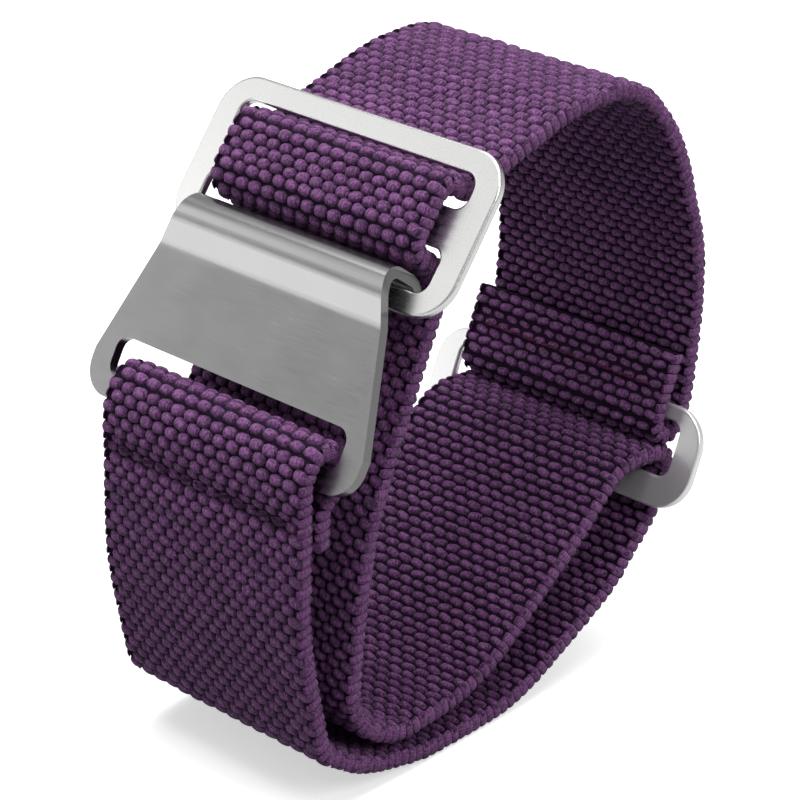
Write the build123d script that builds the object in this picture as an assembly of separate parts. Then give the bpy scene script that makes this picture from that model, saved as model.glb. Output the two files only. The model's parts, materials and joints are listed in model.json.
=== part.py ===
# Woven elastic watch strap with a hook closure, closed into a loop and standing on its lowest run.
# The strap is one long elastic web, sewn at both ends, and three pieces of flat metal hardware:
# a hook plate at the front, a three-bar adjuster that the hook catches, and a plain loop at the back.
# The profile of the strap lies in the XZ plane, the hook side towards -X, and the width runs along Y.
from build123d import *
import math
import os

os.makedirs("parts", exist_ok=True)

# Web sizes, in millimetres
web_width = 20.0
web_thickness = 1.6
rubber_thickness = 0.45
rubber_width = 0.7
rubber_pitch = 2.2
rubber_clearance = 0.05
layer_gap = 0.1

# Overall size of the closed loop and the shares of it that place the hardware
loop_width = 43.8
loop_height = 47.2
adjuster_place_shares = (-0.1221, 0.9508)
rear_loop_place_shares = (0.3988, 0.3475)

# Three-bar adjuster, measured down its own slope from its place
adjuster_slope_angle = 52.0
adjuster_window_clearance = 1.2
adjuster_thickness = 0.7
adjuster_upper_bar = 1.8
adjuster_upper_room = 0.6
adjuster_middle_bar = 2.9
adjuster_lower_bar = 1.7
adjuster_top_rise = 1.8
adjuster_side_wall = 2.2
adjuster_corner_radius = 3.0
adjuster_window_radius = 1.0
adjuster_clearance = 0.2

# Plain rear loop
rear_loop_slope_angle = 66.0
rear_loop_window_clearance = 1.2
rear_loop_thickness = 0.7
rear_loop_top_bar = 1.2
rear_loop_layer_gap = 0.6
rear_loop_lower_bar = 2.4
rear_loop_top_rise = 3.0
rear_loop_side_wall = 2.2
rear_loop_corner_radius = 3.0
rear_loop_window_radius = 1.0
rear_fold_clearance = 0.25
rear_turn_clearance = 0.6

# Hook plate, measured down its own slope from the crown of the hook
hook_slope_angle = 60.0
hook_thickness = 0.8
hook_length = 15.7
hook_neck_clearance = 1.55
hook_side_wall = 1.88
hook_side_shift = 0.67
hook_corner_radius = 2.3
hook_slot_bar = 1.6
hook_slot_room = 1.05
hook_slot_clearance = 1.4
hook_slot_radius = 1.0
hook_crown_run = 1.8
hook_crown_rise = 0.2
hook_neck_run = 2.2
hook_neck_drop = 0.25
hook_over_gap = 1.25
hook_bar_gap = 0.35
hook_under_gap = 0.75
hook_lip_overlap = 0.4
hook_crown_radius = 1.1
hook_lip_radius = 0.8
hook_bend_radius = 4.0
hook_fold_clearance = 0.35
hook_web_gap = 0.35
hook_lip_web_gap = 0.9

# Bends of the web round the hardware, on the inside of the bend
bar_bend_radius = 0.5
rear_turn_inner_radius = 0.6
inner_turn_inner_radius = 0.7
tail_inner_radius = 0.4
leave_inner_radius = 2.2

# Free runs of the web: each corner is a pair of shares of the loop's width and height, and its bend is as large as fits
front_run_shares = ((-0.4856, 0.318), (-0.4452, 0.1114), (-0.3457, 0.047))
bottom_run_shares = (-0.205, 0.02)
bottom_bend_share = 0.3
back_run_shares = ((0.2648, 0.1265),)
inner_start_shares = (0.2854, 0.11)
inner_run_shares = ((-0.0767, 0.084), (-0.2854, 0.0715), (-0.3813, 0.145), (-0.3425, 0.4407))
inner_rise_angle = 64.8
top_leave_angle = 16.5
top_run_shares = ((0.1347, 0.983), (0.3014, 0.983), (0.411, 0.8644), (0.4795, 0.6674), (0.4829, 0.5657))
turn_lift = 0.35
free_bend_share = 0.45
inner_cut_share = 0.3
lip_cut_share = 0.12
top_cut_share = 0.5

# Sewn ends
hook_tail_length = 5.3
hook_tail_bend_length = 2.4
hook_fold_end_length = 5.9
front_stretch_end_share = 0.17
rear_tail_length = 5.5
seam_stitch_count = 9
seam_stitch_length = 1.5
seam_thread_radius = 0.18
seam_inset = 1.4
seam_seat_gap = 0.03
hook_seam_length = 3.1
rear_seam_length = 3.2

edge_round = 0.2
overrun = 4.0


class Slope:
    """A straight line in the profile that slants down to the left, with places along it and off it."""

    def __init__(self, x, z, angle):
        self.x = x
        self.z = z
        self.angle = math.radians(angle)

    def at(self, down, off=0.0):
        """Point down the slope and off its face, towards the upper left."""
        c = math.cos(self.angle)
        s = math.sin(self.angle)
        return (self.x - down * c - off * s, self.z - down * s + off * c)

    def plane(self, down=0.0, off=0.0):
        """Sketch plane on the slope: its X is the strap's width and its Y runs down the slope."""
        x, z = self.at(down, off)
        normal = (-math.sin(self.angle), 0, math.cos(self.angle))
        return Plane(origin=(x, 0, z), x_dir=(0, 1, 0), z_dir=normal)


def cross(p, p_angle, q, q_angle):
    """Where a line through p meets a line through q, each given by its heading in degrees."""
    a = math.radians(p_angle)
    b = math.radians(q_angle)
    turn = math.sin(b - a)
    along = ((q[0] - p[0]) * math.sin(b) - (q[1] - p[1]) * math.cos(b)) / turn
    return (p[0] + along * math.cos(a), p[1] + along * math.sin(a))


def between(p, q, share):
    """Point on the way from p to q."""
    return (p[0] + share * (q[0] - p[0]), p[1] + share * (q[1] - p[1]))


def at_height(p, q, z):
    """Point at height z on the line from p to q."""
    return between(p, q, (z - p[1]) / (q[1] - p[1]))


def loop_point(shares):
    """Point of the profile from shares of the loop's width and height."""
    return (shares[0] * loop_width, shares[1] * loop_height)


def heading(p, q):
    """Heading from p to q, in degrees."""
    return math.degrees(math.atan2(q[1] - p[1], q[0] - p[0]))


def free_radius(before, here, after, turn):
    """Largest bend that leaves a little straight web on both sides of a corner."""
    run = min(math.dist(before, here), math.dist(here, after))
    return free_bend_share * run / math.tan(abs(turn) / 2)


def bends(route):
    """Straight pieces and arcs of a route, given as points with the radius of the bend at each, or None if free."""
    pieces = []
    start = route[0][0]
    for before, here, after in zip(route, route[1:], route[2:]):
        point, radius = here
        a = math.radians(heading(before[0], point))
        b = math.radians(heading(point, after[0]))
        turn = math.atan2(math.sin(b - a), math.cos(b - a))
        if radius is None:
            radius = free_radius(before[0], point, after[0], turn)
        reach = radius * math.tan(abs(turn) / 2)
        enter = (point[0] - reach * math.cos(a), point[1] - reach * math.sin(a))
        side = math.copysign(radius, turn)
        centre = (enter[0] - side * math.sin(a), enter[1] + side * math.cos(a))
        leave = (point[0] + reach * math.cos(b), point[1] + reach * math.sin(b))
        pieces.append(("line", start, enter, a))
        pieces.append(("arc", centre, side, a, turn))
        start = leave
    end = route[-1][0]
    pieces.append(("line", start, end, math.radians(heading(route[-2][0], end))))
    return pieces


def offset_edges(pieces, off):
    """Edges of a route moved off to its left, with the points where they start and end."""
    edges = []
    for piece in pieces:
        if piece[0] == "line":
            kind, start, end, a = piece
            move = (-off * math.sin(a), off * math.cos(a))
            p = Vector(start[0] + move[0], 0, start[1] + move[1])
            q = Vector(end[0] + move[0], 0, end[1] + move[1])
            edges.append(Edge.make_line(p, q))
        else:
            kind, centre, side, a, turn = piece
            radius = side - off
            points = []
            for share in (0, 0.5, 1):
                angle = a + share * turn
                points.append(Vector(centre[0] + radius * math.sin(angle), 0, centre[1] - radius * math.cos(angle)))
            edges.append(Edge.make_three_point_arc(*points))
    return edges, edges[0].position_at(0), edges[-1].position_at(1)


def ribbon(route, thickness, width, shift=0.0):
    """Flat strip that follows a route in the profile, centred on y = shift."""
    pieces = bends(route)
    left, left_start, left_end = offset_edges(pieces, thickness / 2)
    right, right_start, right_end = offset_edges(pieces, -thickness / 2)
    edges = left + right + [Edge.make_line(left_start, right_start), Edge.make_line(left_end, right_end)]
    face = Face(Wire(edges))
    return Pos(0, shift, 0) * extrude(face, amount=width / 2, both=True)


def rubber_places():
    """Places across the width of the rubber strands."""
    count = int((web_width - rubber_pitch) / rubber_pitch)
    return [(i - (count - 1) / 2) * rubber_pitch for i in range(count)]


def save(shape, name):
    """Write one piece under its own name."""
    shape.label = name
    export_step(shape, f"parts/{name}.step")


def web_piece(name, route):
    """Woven piece of the web with its channels, and the rubber strands that lie in them."""
    woven = ribbon(route, web_thickness, web_width)
    strands = []
    for y in rubber_places():
        channel = ribbon(route, rubber_thickness + 2 * rubber_clearance, rubber_width + 2 * rubber_clearance, y)
        woven = woven - channel
        strands.append(ribbon(route, rubber_thickness, rubber_width, y))
    save(woven, f"web_{name}")
    save(Compound(children=strands), f"rubber_strands_{name}")
    return woven


# Slopes that carry the hardware
adjuster_slope = Slope(*loop_point(adjuster_place_shares), adjuster_slope_angle)
rear_slope = Slope(*loop_point(rear_loop_place_shares), rear_loop_slope_angle)

# Widths of the hardware, outwards from the web that passes through it
adjuster_window_width = web_width + 2 * adjuster_window_clearance
adjuster_width = adjuster_window_width + 2 * adjuster_side_wall
rear_window_width = web_width + 2 * rear_loop_window_clearance
rear_loop_width = rear_window_width + 2 * rear_loop_side_wall
hook_slot_length = web_width + 2 * hook_slot_clearance
hook_wide_width = hook_slot_length + 2 * hook_side_wall
hook_narrow_width = adjuster_window_width - 2 * hook_neck_clearance

# Heights of the openings, from what passes through them
adjuster_upper_window = web_thickness + 2 * adjuster_clearance + adjuster_upper_room
adjuster_lower_window = web_thickness + adjuster_clearance + hook_web_gap + hook_thickness + hook_bar_gap
rear_loop_window = 2 * web_thickness + rear_fold_clearance + turn_lift + rear_loop_layer_gap
hook_slot_height = web_thickness + hook_fold_clearance + hook_slot_room

# Bends at the middle of the web's thickness
tight_bend_radius = web_thickness / 2 + bar_bend_radius
rear_turn_radius = web_thickness / 2 + rear_turn_inner_radius
inner_turn_radius = web_thickness / 2 + inner_turn_inner_radius
tail_bend_radius = web_thickness / 2 + tail_inner_radius
leave_bend_radius = web_thickness / 2 + leave_inner_radius

# Places down the adjuster's slope
upper_window_start = adjuster_upper_bar - adjuster_top_rise
middle_bar_start = upper_window_start + adjuster_upper_window
lower_window_start = middle_bar_start + adjuster_middle_bar
lower_bar_start = lower_window_start + adjuster_lower_window
adjuster_end = lower_bar_start + adjuster_lower_bar

# Places down the rear loop's slope
rear_window_start = rear_loop_top_bar - rear_loop_top_rise
rear_lower_bar_start = rear_window_start + rear_loop_window
rear_loop_end = rear_lower_bar_start + rear_loop_lower_bar

# The hook's crown lies over the adjuster's lower bar
hook_leg_down = lower_bar_start - hook_bar_gap - hook_thickness / 2
hook_crown_off = adjuster_thickness / 2 + hook_over_gap + hook_thickness / 2
hook_lip_off = -adjuster_thickness / 2 - hook_under_gap - hook_thickness / 2
hook_crown = adjuster_slope.at(hook_leg_down, hook_crown_off)
hook_slope = Slope(*hook_crown, hook_slope_angle)
hook_slot_end = hook_length - hook_slot_bar
hook_slot_start = hook_slot_end - hook_slot_height

# Centre line of the web where it is folded round the slot bar of the hook plate
hook_fold_off = hook_thickness / 2 + hook_fold_clearance + web_thickness / 2
hook_fold_down = hook_slot_end - hook_fold_clearance - web_thickness / 2
outer_leave = hook_slope.at(hook_length, hook_fold_off - hook_neck_drop)
outer_crest = hook_slope.at(hook_fold_down, hook_fold_off - hook_neck_drop)
inner_crest = hook_slope.at(hook_fold_down, -hook_fold_off - hook_neck_drop)
layer_pitch = web_thickness + layer_gap

front_bulge, front_corner, front_low = [loop_point(row) for row in front_run_shares]
tail_height = outer_leave[1] - hook_tail_length
tail_bend_height = outer_leave[1] - hook_tail_bend_length
tail_bend = (at_height(outer_leave, front_bulge, tail_bend_height)[0] + layer_pitch, tail_bend_height)
tail_end = (at_height(outer_leave, front_bulge, tail_height)[0] + layer_pitch, tail_height)
tail_knee = hook_slope.at(hook_length, -hook_fold_off - hook_neck_drop)
hook_fold_end = at_height(outer_leave, front_bulge, outer_leave[1] - hook_fold_end_length)
front_stretch_end = at_height(front_bulge, front_corner, front_stretch_end_share * loop_height)

# Bottom run, flat between its two bends, on which the strap stands
rest_height = web_thickness / 2
rest_front = (bottom_run_shares[0] * loop_width, rest_height)
rest_back = (bottom_run_shares[1] * loop_width, rest_height)
bottom_bend = bottom_bend_share * loop_height
back_bend = loop_point(back_run_shares[0])

# Turn of the web over the lower bar of the rear loop
turn_off = -(rear_loop_thickness / 2 + rear_turn_clearance + web_thickness / 2)
turn_line = rear_slope.at(rear_lower_bar_start, turn_off)
turn_low = rear_slope.at(rear_loop_end, turn_off)
bar_crest = rear_slope.at(rear_lower_bar_start, rear_loop_thickness / 2)
inner_start = (inner_start_shares[0] * loop_width, bar_crest[1] + web_thickness / 2 + turn_lift)
turn_top = cross(turn_line, rear_loop_slope_angle, inner_start, 180.0)
back_leave = turn_low
inner_bend = inner_start_shares[1] * loop_height
inner_points = [(loop_point(row), None) for row in inner_run_shares]

# Wrap of the web over the adjuster's middle bar
wrap_off = adjuster_thickness / 2 + adjuster_clearance + web_thickness / 2
lower_pass = lower_window_start + adjuster_clearance + web_thickness / 2
upper_pass = upper_window_start + adjuster_clearance + web_thickness / 2
lip_end = lower_bar_start + hook_lip_overlap
lip_pass = adjuster_slope.at(lip_end, hook_lip_off - hook_thickness / 2 - hook_lip_web_gap - web_thickness / 2)
wrap_enter = cross(lip_pass, inner_rise_angle, adjuster_slope.at(lower_pass), adjuster_slope_angle + 90.0)
wrap_low = adjuster_slope.at(lower_pass, wrap_off)
wrap_high = adjuster_slope.at(upper_pass, wrap_off)
top_points = [(loop_point(row), None) for row in top_run_shares]
wrap_leave = cross(top_points[0][0], top_leave_angle, adjuster_slope.at(upper_pass), adjuster_slope_angle - 90.0)

# Fold of the web round the top bar of the rear loop
rear_fold_off = rear_loop_thickness / 2 + rear_fold_clearance + web_thickness / 2
rear_fold_down = rear_window_start + rear_fold_clearance + web_thickness / 2
fold_outer = rear_slope.at(rear_fold_down, -rear_fold_off)
fold_inner = rear_slope.at(rear_fold_down, rear_fold_off + layer_gap)
rear_leave = rear_slope.at(-rear_loop_top_rise - rear_loop_thickness, -rear_fold_off)
rear_tail_height = fold_inner[1] + rear_tail_length
rear_tail = (at_height(top_points[-1][0], rear_leave, rear_tail_height)[0] - layer_pitch, rear_tail_height)
top_end = at_height(top_points[-1][0], rear_leave, rear_tail_height + layer_pitch)

# Routes of the pieces of the web, in order from the hook to the rear loop
hook_fold_route = [
    (tail_end, 0), (tail_bend, tail_bend_radius), (tail_knee, tail_bend_radius), (inner_crest, tight_bend_radius),
    (outer_crest, tight_bend_radius), (outer_leave, leave_bend_radius), (hook_fold_end, 0),
]
front_route = [(hook_fold_end, 0), (front_bulge, None), (front_stretch_end, 0)]
outer_end = between(back_bend, back_leave, free_bend_share)
outer_route = [
    (front_stretch_end, 0), (front_corner, None), (front_low, None),
    (rest_front, bottom_bend), (rest_back, bottom_bend), (back_bend, None), (outer_end, 0),
]
inner_cut = between(inner_start, inner_points[0][0], inner_cut_share)
turn_route = [
    (outer_end, 0), (back_leave, leave_bend_radius), (turn_top, rear_turn_radius),
    (inner_start, inner_bend), (inner_cut, 0),
]
wrap_cut = between(inner_points[-1][0], lip_pass, 1 - lip_cut_share)
inner_route = [(inner_cut, 0)] + inner_points + [(wrap_cut, 0)]
top_cut = between(wrap_leave, top_points[0][0], top_cut_share)
wrap_route = [
    (wrap_cut, 0), (lip_pass, None), (wrap_enter, inner_turn_radius), (wrap_low, tight_bend_radius),
    (wrap_high, tight_bend_radius), (wrap_leave, tight_bend_radius), (top_cut, 0),
]
top_route = [(top_cut, 0)] + top_points + [(top_end, 0)]
rear_fold_route = [
    (top_end, 0), (rear_leave, None), (fold_outer, tight_bend_radius),
    (fold_inner, tight_bend_radius), (rear_tail, 0),
]

for piece_name, piece_route in (
    ("hook_fold", hook_fold_route), ("front_stretch", front_route), ("outer_layer", outer_route),
    ("rear_turn", turn_route), ("inner_layer", inner_route), ("adjuster_wrap", wrap_route),
    ("top_band", top_route), ("rear_fold", rear_fold_route),
):
    web_piece(piece_name, piece_route)


def frame_solid(slope, start, end, width, thickness, radius, wall, window_radius, windows):
    """Flat rounded frame on a slope, with one window for each (start, end) pair down the slope."""
    outline = Pos(0, (start + end) / 2) * RectangleRounded(width, end - start, radius)
    for window_start, window_end in windows:
        hole = RectangleRounded(width - 2 * wall, window_end - window_start, window_radius)
        outline = outline - Pos(0, (window_start + window_end) / 2) * hole
    solid = extrude(slope.plane() * outline, amount=thickness / 2, both=True)
    normal = slope.plane().z_dir
    rims = solid.faces().sort_by(Axis((0, 0, 0), (normal.X, normal.Y, normal.Z)))
    return fillet(rims[0].edges() + rims[-1].edges(), edge_round)


adjuster = frame_solid(
    adjuster_slope, -adjuster_top_rise, adjuster_end, adjuster_width, adjuster_thickness, adjuster_corner_radius,
    adjuster_side_wall, adjuster_window_radius,
    ((upper_window_start, middle_bar_start), (lower_window_start, lower_bar_start)),
)
save(adjuster, "three_bar_adjuster")

rear_loop = frame_solid(
    rear_slope, -rear_loop_top_rise, rear_loop_end, rear_loop_width, rear_loop_thickness, rear_loop_corner_radius,
    rear_loop_side_wall, rear_loop_window_radius, ((rear_window_start, rear_lower_bar_start),),
)
save(rear_loop, "rear_loop")


def hook_plate():
    """Hook plate: a tapered flat sheet with a slot, whose narrow end rolls over the adjuster's lower bar."""
    route = [
        (hook_slope.at(hook_length, -hook_neck_drop), 0),
        (hook_slope.at(hook_crown_run + hook_neck_run, -hook_neck_drop), hook_bend_radius),
        (hook_slope.at(hook_crown_run, hook_crown_rise), hook_bend_radius / 2),
        (hook_crown, hook_crown_radius),
        (adjuster_slope.at(hook_leg_down, hook_lip_off), hook_lip_radius),
        (adjuster_slope.at(lip_end, hook_lip_off), 0),
    ]
    sheet = ribbon(route, hook_thickness, hook_wide_width)
    narrow = hook_narrow_width / 2
    wide = hook_wide_width / 2
    wide_start = hook_length - hook_corner_radius - hook_slot_bar / 2
    outline = Polyline(
        (-narrow, -overrun), (-narrow, 0), (-wide, wide_start), (-wide, hook_length),
        (wide, hook_length), (wide, wide_start), (narrow, 0), (narrow, -overrun), close=True,
    )
    plan = make_face(outline)
    low_corners = plan.vertices().sort_by(Axis.Y)[-2:]
    plan = fillet(low_corners, hook_corner_radius)
    slot = RectangleRounded(hook_slot_length, hook_slot_height, hook_slot_radius)
    slot = Pos(0, (hook_slot_start + hook_slot_end) / 2) * slot
    plan = plan - slot
    plate = sheet & extrude(hook_slope.plane() * plan, amount=2 * overrun, both=True)
    return Pos(0, hook_side_shift, 0) * plate


save(hook_plate(), "hook_plate")


def seam(point, angle, offs):
    """Rows of short thread stitches that lie on both outer faces of two sewn layers."""
    a = math.radians(angle)
    pitch = (web_width - 2 * seam_inset) / seam_stitch_count
    stitches = []
    for off in offs:
        x = point[0] - off * math.sin(a)
        z = point[1] + off * math.cos(a)
        for i in range(seam_stitch_count):
            y = (i - (seam_stitch_count - 1) / 2) * pitch
            thread = Rot(90, 0, 0) * Cylinder(seam_thread_radius, seam_stitch_length)
            stitches.append(Pos(x, y, z) * thread)
    return Compound(children=stitches)


hook_seam_height = outer_leave[1] - hook_seam_length
hook_seam_point = at_height(outer_leave, front_bulge, hook_seam_height)
seat = web_thickness / 2 + seam_thread_radius + seam_seat_gap
save(seam(hook_seam_point, heading(outer_leave, front_bulge), (-seat, layer_pitch + seat)), "hook_seam_thread")

rear_seam_height = fold_inner[1] + rear_seam_length
rear_seam_point = at_height(fold_inner, rear_tail, rear_seam_height)
save(seam(rear_seam_point, heading(fold_inner, rear_tail), (seat,)), "rear_seam_thread")
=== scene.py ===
"""Woven elastic watch strap with a hook closure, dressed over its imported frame."""
import json
import logging
import math
from dataclasses import dataclass
from enum import Enum

import bpy
from mathutils import Matrix, Vector

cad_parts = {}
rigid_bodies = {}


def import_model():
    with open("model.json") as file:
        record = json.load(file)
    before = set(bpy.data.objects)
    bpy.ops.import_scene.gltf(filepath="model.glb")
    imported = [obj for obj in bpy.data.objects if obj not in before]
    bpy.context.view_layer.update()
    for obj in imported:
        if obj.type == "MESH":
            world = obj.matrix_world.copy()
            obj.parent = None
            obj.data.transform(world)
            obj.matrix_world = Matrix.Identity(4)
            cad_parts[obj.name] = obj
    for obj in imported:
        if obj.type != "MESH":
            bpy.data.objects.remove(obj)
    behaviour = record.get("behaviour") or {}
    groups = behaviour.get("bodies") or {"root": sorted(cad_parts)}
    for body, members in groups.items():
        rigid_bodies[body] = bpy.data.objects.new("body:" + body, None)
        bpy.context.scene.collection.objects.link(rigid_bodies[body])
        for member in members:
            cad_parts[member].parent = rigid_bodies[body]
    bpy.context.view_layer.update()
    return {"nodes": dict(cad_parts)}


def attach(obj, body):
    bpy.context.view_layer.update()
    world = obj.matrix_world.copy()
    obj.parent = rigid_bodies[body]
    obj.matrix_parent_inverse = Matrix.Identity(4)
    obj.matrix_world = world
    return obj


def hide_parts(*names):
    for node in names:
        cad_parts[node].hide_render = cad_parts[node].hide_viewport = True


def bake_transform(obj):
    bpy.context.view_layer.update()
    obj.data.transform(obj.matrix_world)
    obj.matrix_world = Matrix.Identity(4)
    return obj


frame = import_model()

MM = 0.001
log = logging.getLogger("strap")

Socket = bpy.types.NodeSocket
Number = float | Socket
Triple = tuple[float, float, float]
Color = tuple[float, float, float, float]


class Weave(Enum):
    """How one face of the web looks: its bead's size in mm (across, along, high) and its outline's squareness."""

    PILLOW = (1.31, 0.91, 0.40, 2.8)
    FLAT = (1.31, 0.93, 0.33, 3.0)
    LENS = (1.36, 0.69, 0.38, 2.8)


class Side(Enum):
    """Which face or edge of the web a row is on, as the sign of its offset from the centre line."""

    LEFT = 1
    RIGHT = -1


@dataclass(frozen=True)
class WebSizes:
    """Sizes of the web, in millimetres."""

    width: float = 20.0
    thickness: float = 1.6
    core_width: float = 19.5
    core_thickness: float = 0.94
    row_pitch: float = 0.765
    bead_pitch: float = 1.285
    beads: int = 15
    stitch_count: int = 9
    seam_inset: float = 1.4
    stitch_depth: float = 0.24


SIZES = WebSizes()


@dataclass(frozen=True)
class Stretch:
    """One stretch of the web.

    Args:
        name: name of the CAD node without its web_ prefix.
        body: CAD body that it rides on.
        corners: corners of its centre line as (x, z, bend radius), in millimetres.
        left: weave of the face on the left of its run.
        right: weave of the face on the right of its run.
        seam: height in millimetres of a sewn row across it, or None.
        seam_reach: distance from the sewn row, in millimetres, within which it draws the web thinner.
        joins: body at the start of the line, where the stretch is drawn out between two bodies, or None; a stretch
            that has one is left as a plain mesh on no body.
    """

    name: str
    body: str
    corners: tuple[Triple, ...]
    left: Weave
    right: Weave
    seam: float | None = None
    seam_reach: float = 1.0
    joins: str | None = None


STRETCHES = (
    Stretch("hook_fold", "hook_tab", (
        (-19.34, 21.52, 0), (-19.24, 24.42, 1.2), (-18.17, 25.27, 1.2), (-16.80, 27.65, 1.3),
        (-19.48, 29.20, 1.3), (-20.86, 26.82, 3.0), (-21.06, 20.92, 0)),
        Weave.LENS, Weave.PILLOW, seam=23.72),
    Stretch("front_stretch", "strap", (
        (-21.06, 20.92, 0), (-21.27, 15.01, 24.72), (-20.00, 8.02, 0)),
        Weave.LENS, Weave.FLAT, joins="hook_tab"),
    Stretch("outer_layer", "strap", (
        (-20.00, 8.02, 0), (-19.50, 5.26, 3.07), (-15.14, 2.22, 12.34), (-8.98, 0.80, 14.16),
        (0.88, 0.80, 14.16), (11.60, 5.97, 9.72), (14.04, 8.29, 0)),
        Weave.LENS, Weave.FLAT),
    Stretch("rear_turn", "strap", (
        (14.04, 8.29, 0), (17.03, 11.12, 3.0), (18.90, 15.36, 1.4), (12.60, 16.16, 5.0), (7.74, 11.91, 0)),
        Weave.LENS, Weave.LENS),
    Stretch("inner_layer", "strap", (
        (7.74, 11.91, 0), (-3.36, 3.96, 14.42), (-12.50, 3.37, 6.18), (-16.70, 6.84, 4.48),
        (-15.00, 20.80, 39.72), (-8.99, 33.66, 0)),
        Weave.PILLOW, Weave.LENS),
    Stretch("adjuster_wrap", "strap", (
        (-8.99, 33.66, 0), (-7.00, 37.92, 1.5), (-10.41, 40.59, 1.3), (-7.03, 44.92, 1.3),
        (-4.84, 43.22, 1.3), (0.53, 44.81, 0)),
        Weave.PILLOW, Weave.LENS),
    Stretch("top_band", "strap", (
        (0.53, 44.81, 0), (5.90, 46.40, 17.39), (13.20, 46.40, 7.15), (18.00, 40.80, 16.51),
        (21.00, 31.50, 15.27), (21.15, 26.70, 10.84), (20.93, 24.90, 0)),
        Weave.FLAT, Weave.LENS),
    Stretch("rear_fold", "strap", (
        (20.93, 24.90, 0), (20.25, 19.21, 8.8), (19.05, 16.48, 1.3), (16.25, 17.06, 1.3), (18.98, 23.22, 0)),
        Weave.LENS, Weave.LENS, seam=20.60, seam_reach=1.7),
)


class CentreLine:
    """Centre line of a stretch: straight runs joined by arcs, sampled densely."""

    FEWEST_STEPS = 3

    def __init__(self, corners: tuple[Triple, ...], step: float = 0.12) -> None:
        """Samples the line.

        Args:
            corners: corners as (x, z, bend radius), in millimetres.
            step: distance between samples on the arcs, in millimetres.
        """
        self.points: list[Vector] = [Vector(corners[0][:2])]
        for before, here, after in zip(corners, corners[1:], corners[2:]):
            self._arc(Vector(before[:2]), Vector(here[:2]), Vector(after[:2]), here[2], step)
        self.points.append(Vector(corners[-1][:2]))

    def _arc(self, before: Vector, here: Vector, after: Vector, radius: float, step: float) -> None:
        """Adds the samples of the arc that rounds one corner.

        Args:
            before: the corner before it.
            here: the corner itself.
            after: the corner after it.
            radius: radius of the arc, in millimetres.
            step: distance between samples, in millimetres.
        """
        way_in = (here - before).normalized()
        way_out = (after - here).normalized()
        turn = way_in.angle_signed(way_out)
        reach = radius * math.tan(abs(turn) / 2)
        start = here - way_in * reach
        side = math.copysign(radius, -turn)
        centre = start + Vector((-way_in.y, way_in.x)) * side
        count = max(self.FEWEST_STEPS, math.ceil(abs(turn) * radius / step))
        for i in range(count + 1):
            arm = start - centre
            arm.rotate(Matrix.Rotation(-turn * i / count, 2))
            self.points.append(centre + arm)

    @property
    def length(self) -> float:
        """Length of the line, in millimetres."""
        return sum((q - p).length for p, q in zip(self.points, self.points[1:]))

    def last_at_height(self, height: float) -> float:
        """Finds where the line crosses a height for the last time.

        Args:
            height: height in millimetres.

        Returns:
            Distance along the line, in millimetres.
        """
        gone = 0.0
        found = []
        for p, q in zip(self.points, self.points[1:]):
            if (p.y - height) * (q.y - height) <= 0 and p.y != q.y:
                found.append(gone + (q - p).length * (height - p.y) / (q.y - p.y))
            gone += (q - p).length
        return found[-1]

    def at(self, distance: float) -> tuple[Vector, Vector]:
        """Finds a place on the line.

        Args:
            distance: distance along the line, in millimetres.

        Returns:
            The point and the line's left normal there.
        """
        gone = 0.0
        for p, q in zip(self.points, self.points[1:]):
            run = (q - p).length
            if gone + run >= distance and run > 0:
                way = (q - p) / run
                return p + way * (distance - gone), Vector((-way.y, way.x))
            gone += run
        way = (self.points[-1] - self.points[-2]).normalized()
        return self.points[-1], Vector((-way.y, way.x))

    def curve(self, name: str) -> bpy.types.Object:
        """Draws the line as a curve object in metres, in the plane y = 0.

        Args:
            name: name of the curve and its object.

        Returns:
            The curve object, linked to the scene.
        """
        data = bpy.data.curves.new(name, "CURVE")
        data.dimensions = "3D"
        spline = data.splines.new("POLY")
        spline.points.add(len(self.points) - 1)
        for point, place in zip(spline.points, self.points):
            point.co = (place.x * MM, 0, place.y * MM, 1)
        return linked(name, data)


def linked(name: str, data: bpy.types.ID) -> bpy.types.Object:
    """Makes an object of the given data and links it to the scene.

    Args:
        name: name of the object.
        data: its mesh, curve, light or camera.

    Returns:
        The object.
    """
    thing = bpy.data.objects.new(name, data)
    bpy.context.scene.collection.objects.link(thing)
    return thing


def baked(thing: bpy.types.Object) -> bpy.types.Mesh:
    """Turns an object with its modifiers or bevel into a plain mesh.

    Args:
        thing: object that is linked to the scene.

    Returns:
        The evaluated mesh.
    """
    bpy.context.view_layer.update()
    return bpy.data.meshes.new_from_object(thing.evaluated_get(bpy.context.evaluated_depsgraph_get()))


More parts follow.
